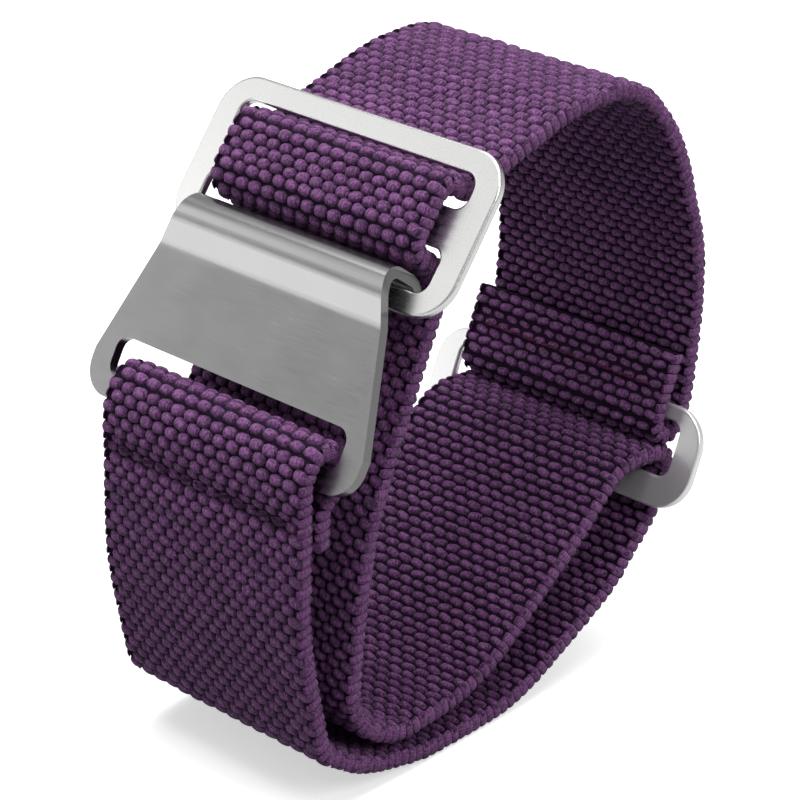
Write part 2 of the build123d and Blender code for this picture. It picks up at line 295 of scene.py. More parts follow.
class Nodes:
    """Short helper that adds and links the nodes of one shader or geometry node tree."""

    FIRST_COLOR, SECOND_COLOR, MIXED_COLOR = 6, 7, 2

    def __init__(self, tree: bpy.types.NodeTree) -> None:
        """Keeps the tree."""
        self.tree = tree

    def add(self, kind: str, inputs: dict | None = None, **settings: str) -> bpy.types.Node:
        """Adds a node.

        Args:
            kind: type of the node.
            inputs: values or sockets for its inputs, by name or number.
            settings: values of its properties.

        Returns:
            The node.
        """
        node = self.tree.nodes.new(kind)
        for key, value in settings.items():
            setattr(node, key, value)
        for key, value in (inputs or {}).items():
            self.give(value, node.inputs[key])
        return node

    def give(self, value: object, socket: Socket) -> None:
        """Sets an input to a value, or links it to a socket.

        Args:
            value: the value or the socket.
            socket: the input.
        """
        if isinstance(value, Socket):
            self.tree.links.new(value, socket)
        else:
            socket.default_value = value

    def math(self, operation: str, a: Number, b: Number = 0.0, c: Number = 0.0) -> Socket:
        """A Math node's output."""
        return self.add("ShaderNodeMath", {0: a, 1: b, 2: c}, operation=operation).outputs[0]

    def vector(self, operation: str, a: Triple | Socket, b: Triple | Socket = (0, 0, 0)) -> Socket:
        """A Vector Math node's output."""
        return self.add("ShaderNodeVectorMath", {0: a, 1: b}, operation=operation).outputs[0]

    def scaled(self, a: Triple | Socket, amount: Number) -> Socket:
        """A vector times a number."""
        return self.add("ShaderNodeVectorMath", {0: a, "Scale": amount}, operation="SCALE").outputs[0]

    def combined(self, x: Number = 0.0, y: Number = 0.0, z: Number = 0.0) -> Socket:
        """A vector of three numbers."""
        return self.add("ShaderNodeCombineXYZ", {0: x, 1: y, 2: z}).outputs[0]

    def split(self, vector: Socket) -> bpy.types.NodeOutputs:
        """The three numbers of a vector."""
        return self.add("ShaderNodeSeparateXYZ", {0: vector}).outputs

    def noise(self, place: Socket, scale: float, detail: float, roughness: float = 0.5) -> Socket:
        """A Noise Texture's factor."""
        given = {"Vector": place, "Scale": scale, "Detail": detail, "Roughness": roughness}
        return self.add("ShaderNodeTexNoise", given).outputs["Fac"]

    def bump(self, height: Socket, distance: float, strength: float = 1.0) -> Socket:
        """A Bump node's normal."""
        given = {"Height": height, "Distance": distance, "Strength": strength}
        return self.add("ShaderNodeBump", given).outputs[0]

    def ranged(self, value: Socket, low: Number, high: Number, start: float = 0.0, end: float = 1.0,
               **settings: str) -> Socket:
        """A Map Range node's output."""
        given = {"Value": value, 1: low, 2: high, 3: start, 4: end}
        return self.add("ShaderNodeMapRange", given, **settings).outputs[0]

    def mixed(self, factor: Socket, first: Color, second: Color) -> Socket:
        """Mixes two colours.

        Args:
            factor: share of the second colour.
            first: the first colour.
            second: the second colour.

        Returns:
            The mixed colour.
        """
        mix = self.add("ShaderNodeMix", data_type="RGBA")
        self.tree.links.new(factor, mix.inputs["Factor"])
        mix.inputs[self.FIRST_COLOR].default_value = first
        mix.inputs[self.SECOND_COLOR].default_value = second
        return mix.outputs[self.MIXED_COLOR]


class Paint:
    """A new material, its nodes and its shader."""

    def __init__(self, name: str) -> None:
        """Makes the material with its usual shader.

        Args:
            name: name of the material.
        """
        self.material = bpy.data.materials.new(name)
        self.material.use_nodes = True
        self.nodes = Nodes(self.material.node_tree)
        self.shader = self.material.node_tree.nodes["Principled BSDF"]

    def finish(self, **inputs: object) -> bpy.types.Material:
        """Sets or links the shader's inputs.

        Args:
            inputs: values or sockets, by the input's name with _ for a space.

        Returns:
            The material.
        """
        for key, value in inputs.items():
            self.nodes.give(value, self.shader.inputs[key.replace("_", " ")])
        return self.material

    def attribute(self, name: str, output: str) -> Socket:
        """An attribute of the mesh."""
        return self.nodes.add("ShaderNodeAttribute", attribute_name=name).outputs[output]

    def coordinate(self, output: str = "Object") -> Socket:
        """A coordinate of the piece."""
        return self.nodes.add("ShaderNodeTexCoord").outputs[output]


@dataclass(frozen=True)
class YarnFinish:
    """Finish of the woven yarn: colours are linear RGB, filament sizes are per metre, heights are in metres."""

    name: str = "woven_yarn"
    # deep is painted shade at the foot of each bead, light a painted highlight on its top, and body lies between.
    deep: Color = (0.030, 0.010, 0.040, 1)
    body: Color = (0.142, 0.042, 0.161, 1)
    light: Color = (0.415, 0.160, 0.440, 1)
    color_stops: Triple = (0.05, 0.52, 0.98)
    filament_scale: float = 7600.0
    filament_stretch: Triple = (0.5, 1.0, 0.7)
    filament_detail: float = 4.0
    filament_roughness: float = 0.75
    filament_limits: tuple[float, float] = (0.34, 0.66)
    painted_light_limits: tuple[float, float] = (-0.00012, 0.00040)
    bead_shift: float = 0.37
    filament_and_glint_share: float = 1.05
    tint_share: float = 0.16
    painted_light_share: float = 0.78
    base_shade: float = -0.66
    bump: float = 0.00015
    bump_strength: float = 0.8
    roughness: float = 0.66
    specular: float = 0.28
    sheen: float = 0.25
    sheen_roughness: float = 0.4
    sheen_tint: Color = (0.75, 0.5, 0.8, 1)

    def make(self) -> bpy.types.Material:
        """Builds the material from filament noise, partly painted glints, each bead's tint, and painted light from
        the height on its dome.

        Returns:
            The material.
        """
        paint = Paint(self.name)
        n = paint.nodes
        grain = paint.attribute("grain", "Vector")
        tint = paint.attribute("tint", "Fac")
        shift = n.vector("ADD", grain, n.scaled(n.combined(tint, tint, tint), self.bead_shift))
        streaks = n.add("ShaderNodeMapping", {"Vector": shift, "Scale": self.filament_stretch}).outputs[0]
        filament = n.noise(streaks, self.filament_scale, self.filament_detail, self.filament_roughness)
        fine = n.ranged(filament, *self.filament_limits)
        # Painted light: the height on the bead's dome runs the colour from painted shade at its foot to a painted
        # highlight on its top.
        dome = n.ranged(n.split(grain)[2], *self.painted_light_limits)
        # The filament noise in the colour is partly the yarn's own grain and partly painted glints of its sheen.
        shade = n.math("MULTIPLY_ADD", fine, self.filament_and_glint_share,
                       n.math("MULTIPLY_ADD", tint, self.tint_share, self.base_shade))
        ramp = n.add("ShaderNodeValToRGB", {"Fac": n.math("MULTIPLY_ADD", dome, self.painted_light_share, shade)})
        low, middle, high = self.color_stops
        stops = ramp.color_ramp.elements
        stops[0].position, stops[0].color = low, self.deep
        stops[1].position, stops[1].color = high, self.light
        stops.new(middle).color = self.body
        return paint.finish(
            Base_Color=ramp.outputs[0], Normal=n.bump(fine, self.bump, self.bump_strength), Roughness=self.roughness,
            Specular_IOR_Level=self.specular, Sheen_Weight=self.sheen, Sheen_Roughness=self.sheen_roughness,
            Sheen_Tint=self.sheen_tint)


@dataclass(frozen=True)
class GroundShadeFinish:
    """Finish of the ground between the beads, painted near black as the shade in the gaps between them."""

    name: str = "woven_ground"
    # Both colours are painted shade, near black so that the gaps between the beads read as shadow.
    color: Color = (0.008, 0.003, 0.011, 1)
    light: Color = (0.024, 0.008, 0.030, 1)
    scale: float = 2600.0
    detail: float = 2.0
    bump: float = 0.00006
    roughness: float = 0.9
    specular: float = 0.1

    def make(self) -> bpy.types.Material:
        """Builds the material.

        Returns:
            The material.
        """
        paint = Paint(self.name)
        n = paint.nodes
        noise = n.noise(paint.coordinate(), self.scale, self.detail)
        return paint.finish(
            Base_Color=n.mixed(noise, self.color, self.light), Normal=n.bump(noise, self.bump),
            Roughness=self.roughness, Specular_IOR_Level=self.specular)


@dataclass(frozen=True)
class SteelFinish:
    """Satin steel with a fine grain and slow clouds of tone, and its own tone on the cut faces at the sides."""

    name: str
    color: Color
    roughness: float
    bump: float = 0.0000012
    bump_strength: float = 0.3
    metallic: float = 1.0
    cut_edge: float = 1.0
    cut_limits: tuple[float, float] = (0.5, 0.95)
    grain_stretch: Triple = (1.0, 0.05, 1.0)
    grain_scale: float = 9000.0
    grain_detail: float = 4.0
    grain_roughness: float = 0.65
    grain_tone: float = 0.07
    grain_gloss: float = 0.08
    cloud_scale: float = 260.0
    cloud_detail: float = 3.0
    cloud_tone: float = 0.06
    cloud_gloss: float = 0.06
    base_tone: float = 0.93
    base_gloss: float = -0.07

    def make(self) -> bpy.types.Material:
        """Builds the material.

        Returns:
            The material.
        """
        paint = Paint(self.name)
        n = paint.nodes
        place = paint.coordinate()
        along = n.add("ShaderNodeMapping", {"Vector": place, "Scale": self.grain_stretch}).outputs[0]
        grain = n.noise(along, self.grain_scale, self.grain_detail, self.grain_roughness)
        cloud = n.noise(place, self.cloud_scale, self.cloud_detail)
        tone = n.math("MULTIPLY_ADD", grain, self.grain_tone,
                      n.math("MULTIPLY_ADD", cloud, self.cloud_tone, self.base_tone))
        sideways = n.math("ABSOLUTE", n.split(paint.coordinate("Normal"))[1])
        cut = n.ranged(sideways, *self.cut_limits, 1.0, self.cut_edge)
        rough = n.math("MULTIPLY_ADD", grain, self.grain_gloss,
                       n.math("MULTIPLY_ADD", cloud, self.cloud_gloss, self.roughness + self.base_gloss))
        return paint.finish(
            Base_Color=n.scaled(self.color[:3], n.math("MULTIPLY", tone, cut)), Roughness=rough,
            Normal=n.bump(grain, self.bump, self.bump_strength), Metallic=self.metallic)


@dataclass(frozen=True)
class ThreadFinish:
    """Twisted thread or strand."""

    name: str
    color: Color
    twist_scale: float = 900.0
    twist_distortion: float = 1.5
    twist_detail: float = 2.0
    twist_tone: float = 0.7
    base_tone: float = 0.55
    bump: float = 0.00005
    roughness: float = 0.75
    specular: float = 0.2

    def make(self) -> bpy.types.Material:
        """Builds the material.

        Returns:
            The material.
        """
        paint = Paint(self.name)
        n = paint.nodes
        given = {"Vector": paint.coordinate(), "Scale": self.twist_scale, "Distortion": self.twist_distortion,
                 "Detail": self.twist_detail}
        wave = n.add("ShaderNodeTexWave", given, bands_direction="DIAGONAL").outputs["Fac"]
        tone = n.math("MULTIPLY_ADD", wave, self.twist_tone, self.base_tone)
        return paint.finish(
            Base_Color=n.scaled(self.color[:3], tone), Normal=n.bump(wave, self.bump),
            Roughness=self.roughness, Specular_IOR_Level=self.specular)


PLATE_STEEL = SteelFinish("plate_steel", (0.32, 0.316, 0.319, 1), 0.25, cut_edge=0.5)
BAR_STEEL = SteelFinish("bar_steel", (0.60, 0.596, 0.592, 1), 0.27, bump=0.0000004)
LOOP_STEEL = SteelFinish("loop_steel", (0.84, 0.835, 0.83, 1), 0.34, bump=0.0000004, metallic=0.62)
HOOK_THREAD = ThreadFinish("hook_thread", (0.05, 0.015, 0.06, 1))
REAR_THREAD = ThreadFinish("rear_thread", (0.085, 0.016, 0.050, 1))
RUBBER = ThreadFinish("rubber_core", (0.02, 0.018, 0.02, 1))


def hidden_mesh(name: str, verts: list, faces: list, grains: list | None = None) -> bpy.types.Object:
    """Makes a smooth mesh object that only node trees use.

    Args:
        name: name of the mesh and its object.
        verts: places of its points, in metres.
        faces: its faces, as numbers of points.
        grains: place of each point in the yarn, kept as the attribute grain; the points themselves where None.

    Returns:
        The object, which isn't linked to the scene.
    """
    mesh = bpy.data.meshes.new(name)
    mesh.from_pydata(verts, [], faces)
    mesh.shade_smooth()
    grain = mesh.attributes.new("grain", "FLOAT_VECTOR", "POINT")
    grain.data.foreach_set("vector", [value for spot in grains or verts for value in spot])
    return bpy.data.objects.new(name, mesh)


@dataclass(frozen=True)
class BeadShape:
    """Mesh of one bead of the weave: a domed rounded outline.

    Args:
        name: name of the mesh.
        across: size across the web, in millimetres.
        along: size along the web, in millimetres.
        high: height of the dome, in millimetres.
        squareness: exponent of the outline; 2 is an ellipse.
        segments: number of points round each ring.
        rings: rings of the dome as (share of the outline, share of the height).
    """

    name: str
    across: float
    along: float
    high: float
    squareness: float
    segments: int = 10
    rings: tuple[tuple[float, float], ...] = ((0.38, 0.94), (0.70, 0.74), (0.93, 0.36), (1.00, -0.20))

    def _squared(self, value: float) -> float:
        """A sine or cosine, drawn out towards a square outline."""
        return abs(value) ** (2 / self.squareness) * math.copysign(1, value)

    def make(self) -> bpy.types.Object:
        """Builds the bead.

        Returns:
            A hidden object.
        """
        verts = [(0, 0, self.high * MM)]
        for share, rise in self.rings:
            for k in range(self.segments):
                a = 2 * math.pi * (k + 0.5) / self.segments
                c, s = self._squared(math.cos(a)), self._squared(math.sin(a))
                verts.append((share * c * self.along / 2 * MM, share * s * self.across / 2 * MM,
                              rise * self.high * MM))
        faces = [(0, 1 + k, 1 + (k + 1) % self.segments) for k in range(self.segments)]
        for ring in range(len(self.rings) - 1):
            base = 1 + ring * self.segments
            for k in range(self.segments):
                nxt = (k + 1) % self.segments
                faces.append((base + k, base + self.segments + k, base + self.segments + nxt, base + nxt))
        return hidden_mesh(self.name, verts, faces)


@dataclass(frozen=True)
class EdgeLoop:
    """Mesh of the loop of yarn that closes one row at the web's edge: a flat bar that spans the thickness.

    Args:
        name: name of the mesh.
        rows: number of rings along the bar.
        segments: number of points round each ring.
        swing: share of half a turn that the bar bends through.
        bulge: how far its middle stands out, in millimetres.
        bluntness: exponent of the bulge; below 1 it is blunt.
        half_span: half of the thickness that it spans, in millimetres.
        along: half of its width along the web at its ends and what its middle adds, in millimetres.
        deep: half of its depth at its ends and what its middle adds, in millimetres.
        inset: how far it is set in from the edge, in millimetres.
        painted_light_lift: how far the loop's painted light is raised, as if it stood higher on a bead's dome, which
            paints it lighter, in millimetres.
    """

    name: str = "edge_loop"
    rows: int = 7
    segments: int = 8
    swing: float = 0.98
    bulge: float = 0.24
    bluntness: float = 0.5
    half_span: float = 0.62
    along: tuple[float, float] = (0.34, 0.05)
    deep: tuple[float, float] = (0.10, 0.07)
    inset: float = 0.06
    painted_light_lift: float = 0.2

    def make(self) -> bpy.types.Object:
        """Builds the loop.

        Returns:
            A hidden object.
        """
        verts, faces = [], []
        for i in range(self.rows):
            swing = (i / (self.rows - 1) - 0.5) * math.pi * self.swing
            c, s = math.cos(swing), math.sin(swing)
            out, rise = c ** self.bluntness * self.bulge, s * self.half_span
            along, deep = self.along[0] + self.along[1] * c, self.deep[0] + self.deep[1] * c
            for k in range(self.segments):
                a = 2 * math.pi * k / self.segments
                spread, swell = math.cos(a) * along, math.sin(a) * deep
                verts.append((spread * MM, (out + swell * c - self.inset) * MM, (rise + swell * s) * MM))
        for i in range(self.rows - 1):
            here, above = i * self.segments, (i + 1) * self.segments
            for k in range(self.segments):
                nxt = (k + 1) % self.segments
                faces.append((here + k, here + nxt, above + nxt, above + k))
        # Painted light: the grain's height is raised so that the loops, in shade at the web's edges, are painted
        # lighter.
        grains = [(x, z, y + self.painted_light_lift * MM) for x, y, z in verts]
        return hidden_mesh(self.name, verts, faces, grains)


@dataclass(frozen=True)
class Looseness:
    """How hand-like the weave is, in metres, radians and shares, and the seeds of what is random.

    Args:
        lift: how far a bead may sit above or below its row.
        row_lean: how far the beads of odd rows lean one way and those of even rows the other.
        bead_turn: how far a bead may be turned further.
        bead_sizes: least and greatest size of a bead.
        edge_lean: least and greatest lean of an edge loop.
        edge_sizes: least and greatest size of an edge loop.
        edge_inset: how far the edge loops are set in from the web's edge.
        row_seeds: seeds of the two faces.
        edge_seeds: seeds of the two edges.
        size_seed: what is added to a seed for the sizes.
        lift_seed: what is added to a seed for the lifts.
        tint_seed: what is added to a seed for the tints.
    """

    lift: float = 0.00003
    row_lean: float = 0.13
    bead_turn: float = 0.09
    bead_sizes: tuple[Triple, Triple] = ((0.94, 0.94, 0.88), (1.05, 1.04, 1.10))
    edge_lean: tuple[float, float] = (0.12, 0.26)
    edge_sizes: tuple[Triple, Triple] = ((0.9, 0.94, 0.9), (1.1, 1.04, 1.0))
    edge_inset: float = 0.00034
    row_seeds: tuple[int, int] = (11, 31)
    edge_seeds: tuple[int, int] = (51, 71)
    size_seed: int = 1
    lift_seed: int = 3
    tint_seed: int = 7


@dataclass(frozen=True)
class SewnRow:
    """What a sewn row does to the web round it: shares that stay there, and sinks in metres.

    Args:
        core_share: share of the ground's thickness that stays.
        bead_share: share of a bead's height that stays.
        flat_share: share of the seam's reach over which the web is thinnest.
        sink: how deep the beads sit in the ground at the seam.
        ease: how much of that is given back away from the seam.
    """

    core_share: float = 0.60
    bead_share: float = 0.55
    flat_share: float = 0.55
    sink: float = 0.00011
    ease: float = 0.00005


class WeaveTree:
    """Geometry node group that weaves one stretch of the web along its centre line."""

    INPUTS = (
        ("Path", "NodeSocketObject"), ("Left bead", "NodeSocketObject"), ("Right bead", "NodeSocketObject"),
        ("Edge loop", "NodeSocketObject"), ("Length", "NodeSocketFloat"), ("Rows", "NodeSocketInt"),
        ("Beads", "NodeSocketInt"), ("Bead pitch", "NodeSocketFloat"), ("Width", "NodeSocketFloat"),
        ("Core width", "NodeSocketFloat"), ("Core thickness", "NodeSocketFloat"), ("Parity", "NodeSocketInt"),
        ("Seam", "NodeSocketFloat"), ("Seam reach", "NodeSocketFloat"), ("Yarn", "NodeSocketMaterial"),
        ("Ground", "NodeSocketMaterial"),
    )
    LOOSE = Looseness()
    SEWN = SewnRow()
    CORE_STEPS = 3.0
    NO_SEAM = -1.0

    def __init__(self) -> None:
        """Builds the node group with its named inputs."""
        self.tree = bpy.data.node_groups.new("woven_strip", "GeometryNodeTree")
        face = self.tree.interface
        face.new_socket("Geometry", in_out="INPUT", socket_type="NodeSocketGeometry")
        self.ids = {name: face.new_socket(name, in_out="INPUT", socket_type=kind).identifier
                    for name, kind in self.INPUTS}
        face.new_socket("Geometry", in_out="OUTPUT", socket_type="NodeSocketGeometry")
        self.n = Nodes(self.tree)
        self.given = self.n.add("NodeGroupInput").outputs
        self.path = self._shape("Path")
        self._build()

    def _shape(self, name: str) -> Socket:
        """Geometry of the object that an input names."""
        return self.n.add("GeometryNodeObjectInfo", {"Object": self.given[name]}).outputs["Geometry"]

    def _sample(self, distance: Socket) -> tuple[Socket, Socket, Socket]:
        """Samples the path.

        Args:
            distance: distance along it, in metres.

        Returns:
            The point, the tangent and the left normal there.
        """
        node = self.n.add("GeometryNodeSampleCurve", {"Curves": self.path, "Length": distance}, mode="LENGTH")
        tangent = node.outputs["Tangent"]
        return node.outputs["Position"], tangent, self.n.vector("CROSS_PRODUCT", tangent, (0, 1, 0))

    def _random(self, low: float | Triple, high: float | Triple, seed: int) -> Socket:
        """Draws a random number, or a random vector where the limits are vectors.

        Args:
            low: lower limit.
            high: upper limit.
            seed: seed of the draw.

        Returns:
            The value for each element.
        """
        if isinstance(low, tuple):
            return self.n.add("FunctionNodeRandomValue", {0: low, 1: high, "Seed": seed},
                              data_type="FLOAT_VECTOR").outputs[0]
        return self.n.add("FunctionNodeRandomValue", {2: low, 3: high, "Seed": seed}, data_type="FLOAT").outputs[1]

    def _pinch(self, distance: Socket, left: float) -> Socket:
        """Finds how much of a size stays near a sewn row.

        Args:
            distance: distance along the path, in metres.
            left: share that is left at the row itself.

        Returns:
            The share that stays, 1 away from the row.
        """
        n, reach = self.n, self.given["Seam reach"]
        gap = n.math("ABSOLUTE", n.math("SUBTRACT", distance, self.given["Seam"]))
        flat = n.math("MULTIPLY", reach, self.SEWN.flat_share)
        return n.ranged(gap, flat, reach, left, 1.0, interpolation_type="SMOOTHSTEP")

    def _points(self, count: Socket) -> tuple[Socket, Socket]:
        """Lays out points, and gives them with their numbers."""
        line = self.n.add("GeometryNodeMeshLine", {"Count": count, "Offset": (0, 0, 0)}).outputs[0]
        return line, self.n.add("GeometryNodeInputIndex").outputs[0]

    def _row_distance(self, row: Socket) -> Socket:
        """Distance along the path of the middle of a row."""
        pitch = self.n.math("DIVIDE", self.given["Length"], self.given["Rows"])
        return self.n.math("MULTIPLY", self.n.math("ADD", row, 0.5), pitch)

    def _rows(self, bead: str, side: Side, seed: int) -> Socket:
        """Lays rows of beads on one face, each row half a bead aside of the one before it.

        Args:
            bead: input that names the bead.
            side: the face.
            seed: seed of what is random.

        Returns:
            The beads as real geometry.
        """
        n, given, loose = self.n, self.given, self.LOOSE
        points, index = self._points(n.math("MULTIPLY", given["Rows"], given["Beads"]))
        row = n.math("FLOOR", n.math("DIVIDE", n.math("ADD", index, 0.5), given["Beads"]))
        place = n.math("SUBTRACT", index, n.math("MULTIPLY", row, given["Beads"]))
        odd = n.math("FLOORED_MODULO", n.math("ADD", row, given["Parity"]), 2.0)
        distance = self._row_distance(row)
        middle = n.math("DIVIDE", n.math("SUBTRACT", given["Beads"], 1.0), 2.0)
        brick = n.math("MULTIPLY_ADD", odd, 0.5, -0.25)
        aside = n.math("ADD", n.math("SUBTRACT", place, middle), brick)
        across = n.math("MULTIPLY", aside, given["Bead pitch"])
        point, tangent, normal = self._sample(distance)
        wobble = self._random(-loose.lift, loose.lift, seed + loose.lift_seed)
        half_core = n.math("MULTIPLY_ADD", given["Core thickness"], 0.5, wobble)
        lift = n.math("MULTIPLY", half_core, self._pinch(distance, self.SEWN.core_share))
        sink = n.math("MULTIPLY_ADD", self._pinch(distance, 0.0), -self.SEWN.ease, self.SEWN.sink)
        up = n.scaled(normal, side.value)
        raised = n.vector("ADD", point, n.scaled(up, n.math("SUBTRACT", lift, sink)))
        where = n.vector("ADD", raised, n.combined(y=across))
        lean = n.math("MULTIPLY_ADD", odd, 2 * loose.row_lean, -loose.row_lean)
        jitter = self._random(-loose.bead_turn, loose.bead_turn, seed)
        twist = n.combined(jitter, jitter, n.math("ADD", lean, jitter))
        size = self._random(*loose.bead_sizes, seed + loose.size_seed)
        size = n.vector("MULTIPLY", size, n.combined(1.0, 1.0, self._pinch(distance, self.SEWN.bead_share)))
        return self._instances(points, where, (up, tangent), twist, size, self._shape(bead), seed)

    def _edges(self, side: Side, seed: int) -> Socket:
        """Lays loops of yarn along one edge of the web.

        Args:
            side: the edge.
            seed: seed of what is random.

        Returns:
            The loops as real geometry.
        """
        n, given, loose = self.n, self.given, self.LOOSE
        points, index = self._points(given["Rows"])
        point, tangent, normal = self._sample(self._row_distance(index))
        half_width = n.math("DIVIDE", given["Width"], 2.0)
        across = n.math("MULTIPLY", n.math("SUBTRACT", half_width, loose.edge_inset), side.value)
        where = n.vector("ADD", point, n.combined(y=across))
        jitter = self._random(*loose.edge_lean, seed)
        flip = 0.0 if side is Side.LEFT else math.pi
        size = self._random(*loose.edge_sizes, seed + loose.size_seed)
        return self._instances(points, where, (normal, tangent), n.combined(y=jitter, z=flip), size,
                               self._shape("Edge loop"), seed)

    def _instances(self, points: Socket, where: Socket, axes: tuple[Socket, Socket], twist: Socket, size: Socket,
                   shape: Socket, seed: int) -> Socket:
        """Puts copies of a shape on points, each with its own tint, and makes them real.

        Args:
            points: the points.
            where: their places.
            axes: directions of the copy's z and x axes.
            twist: a copy's own turn after that, as Euler angles.
            size: scale of each copy.
            shape: geometry that is copied.
            seed: seed that the tints' seed follows from.

        Returns:
            The copies.
        """
        n = self.n
        placed = n.add("GeometryNodeSetPosition", {"Geometry": points, "Position": where}).outputs[0]
        turn = n.add("FunctionNodeAxesToRotation", {"Primary Axis": axes[0], "Secondary Axis": axes[1]}).outputs[0]
        local = n.add("FunctionNodeEulerToRotation", {0: twist}).outputs[0]
        spin = n.add("FunctionNodeRotateRotation", {"Rotation": turn, "Rotate By": local},
                     rotation_space="LOCAL").outputs[0]
        copies = n.add("GeometryNodeInstanceOnPoints",
                       {"Points": placed, "Instance": shape, "Rotation": spin, "Scale": size}).outputs[0]
        tint = self._random(0.0, 1.0, seed + self.LOOSE.tint_seed)
        tinted = n.add("GeometryNodeStoreNamedAttribute", {"Geometry": copies, "Name": "tint", "Value": tint},
                       data_type="FLOAT", domain="INSTANCE").outputs[0]
        return n.add("GeometryNodeRealizeInstances", {0: tinted}).outputs[0]

    def _core(self) -> Socket:
        """Makes the ground of the web, whose near-black finish is painted shade in the gaps: a thin box bent along
        the path.

        Returns:
            The ground as geometry.
        """
        n, given = self.n, self.given
        size = n.combined(given["Length"], given["Core width"], given["Core thickness"])
        steps = n.math("MULTIPLY", given["Rows"], self.CORE_STEPS)
        box = n.add("GeometryNodeMeshCube",
                    {"Size": size, "Vertices X": steps, "Vertices Y": 2, "Vertices Z": 2}).outputs["Mesh"]
        flat = n.split(n.add("GeometryNodeInputPosition").outputs[0])
        distance = n.math("MULTIPLY_ADD", given["Length"], 0.5, flat[0])
        point, _, normal = self._sample(distance)
        lift = n.math("MULTIPLY", flat[2], self._pinch(distance, self.SEWN.core_share))
        where = n.vector("ADD", n.vector("ADD", point, n.scaled(normal, lift)), n.combined(y=flat[1]))
        bent = n.add("GeometryNodeSetPosition", {"Geometry": box, "Position": where}).outputs[0]
        return n.add("GeometryNodeSetMaterial", {"Geometry": bent, "Material": given["Ground"]}).outputs[0]

    def _joined(self, parts: list[Socket]) -> Socket:
        """Joins geometry.

        Args:
            parts: the parts.

        Returns:
            All parts in one.
        """
        join = self.n.add("GeometryNodeJoinGeometry")
        for part in parts:
            self.n.tree.links.new(part, join.inputs[0])
        return join.outputs[0]

    def _build(self) -> None:
        """Joins the faces, the edges and the ground."""
        left, right = self.LOOSE.row_seeds
        near, far = self.LOOSE.edge_seeds
        yarn = self._joined([self._rows("Left bead", Side.LEFT, left), self._rows("Right bead", Side.RIGHT, right),
                             self._edges(Side.LEFT, near), self._edges(Side.RIGHT, far)])
        painted = self.n.add("GeometryNodeSetMaterial", {"Geometry": yarn, "Material": self.given["Yarn"]}).outputs[0]
        self.n.add("NodeGroupOutput", {0: self._joined([painted, self._core()])})


@dataclass(frozen=True)
class Web:
    """The woven web: every stretch, woven row after row from the hook to the rear loop."""

    yarn: bpy.types.Material
    ground: bpy.types.Material

    def make(self) -> None:
        """Weaves all stretches and hands each one to its body, but those that join two bodies stay plain meshes on no
        body.
        """
        tree = WeaveTree()
        beads = {weave: BeadShape(f"bead_{weave.name.lower()}", *weave.value).make() for weave in Weave}
        loop = EdgeLoop().make()
        woven = 0
        for stretch in STRETCHES:
            line = CentreLine(stretch.corners)
            rows = round(line.length / SIZES.row_pitch)
            values = {
                "Path": line.curve(f"path_{stretch.name}"), "Left bead": beads[stretch.left],
                "Right bead": beads[stretch.right], "Edge loop": loop, "Length": line.length * MM, "Rows": rows,
                "Beads": SIZES.beads, "Bead pitch": SIZES.bead_pitch * MM, "Width": SIZES.width * MM,
                "Core width": SIZES.core_width * MM, "Core thickness": SIZES.core_thickness * MM,
                "Parity": woven % 2, "Seam": line.last_at_height(stretch.seam) * MM if stretch.seam else tree.NO_SEAM,
                "Seam reach": stretch.seam_reach * MM, "Yarn": self.yarn, "Ground": self.ground,
            }
            piece = self._bake(tree, values, f"woven_{stretch.name}")
            if stretch.joins:
                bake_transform(piece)
            else:
                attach(piece, stretch.body)
            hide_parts(f"web_{stretch.name}")
            log.info("%s: %d rows, %d faces", piece.name, rows, len(piece.data.polygons))
            woven += rows

    @staticmethod
    def _bake(tree: WeaveTree, values: dict, name: str) -> bpy.types.Object:
        """Runs the node group once and keeps its mesh.

        Args:
            tree: the node group.
            values: values of its inputs, by name.
            name: name of the piece.

        Returns:
            The piece, a plain mesh.
        """
        carrier = linked(name + "_carrier", bpy.data.meshes.new(name + "_carrier"))
        modifier = carrier.modifiers.new("weave", "NODES")
        modifier.node_group = tree.tree
        for key, value in values.items():
            modifier[tree.ids[key]] = value
        mesh = baked(carrier)
        mesh.name = name
        piece = linked(name, mesh)
        bpy.data.objects.remove(carrier)
        bpy.data.objects.remove(values["Path"])
        return piece


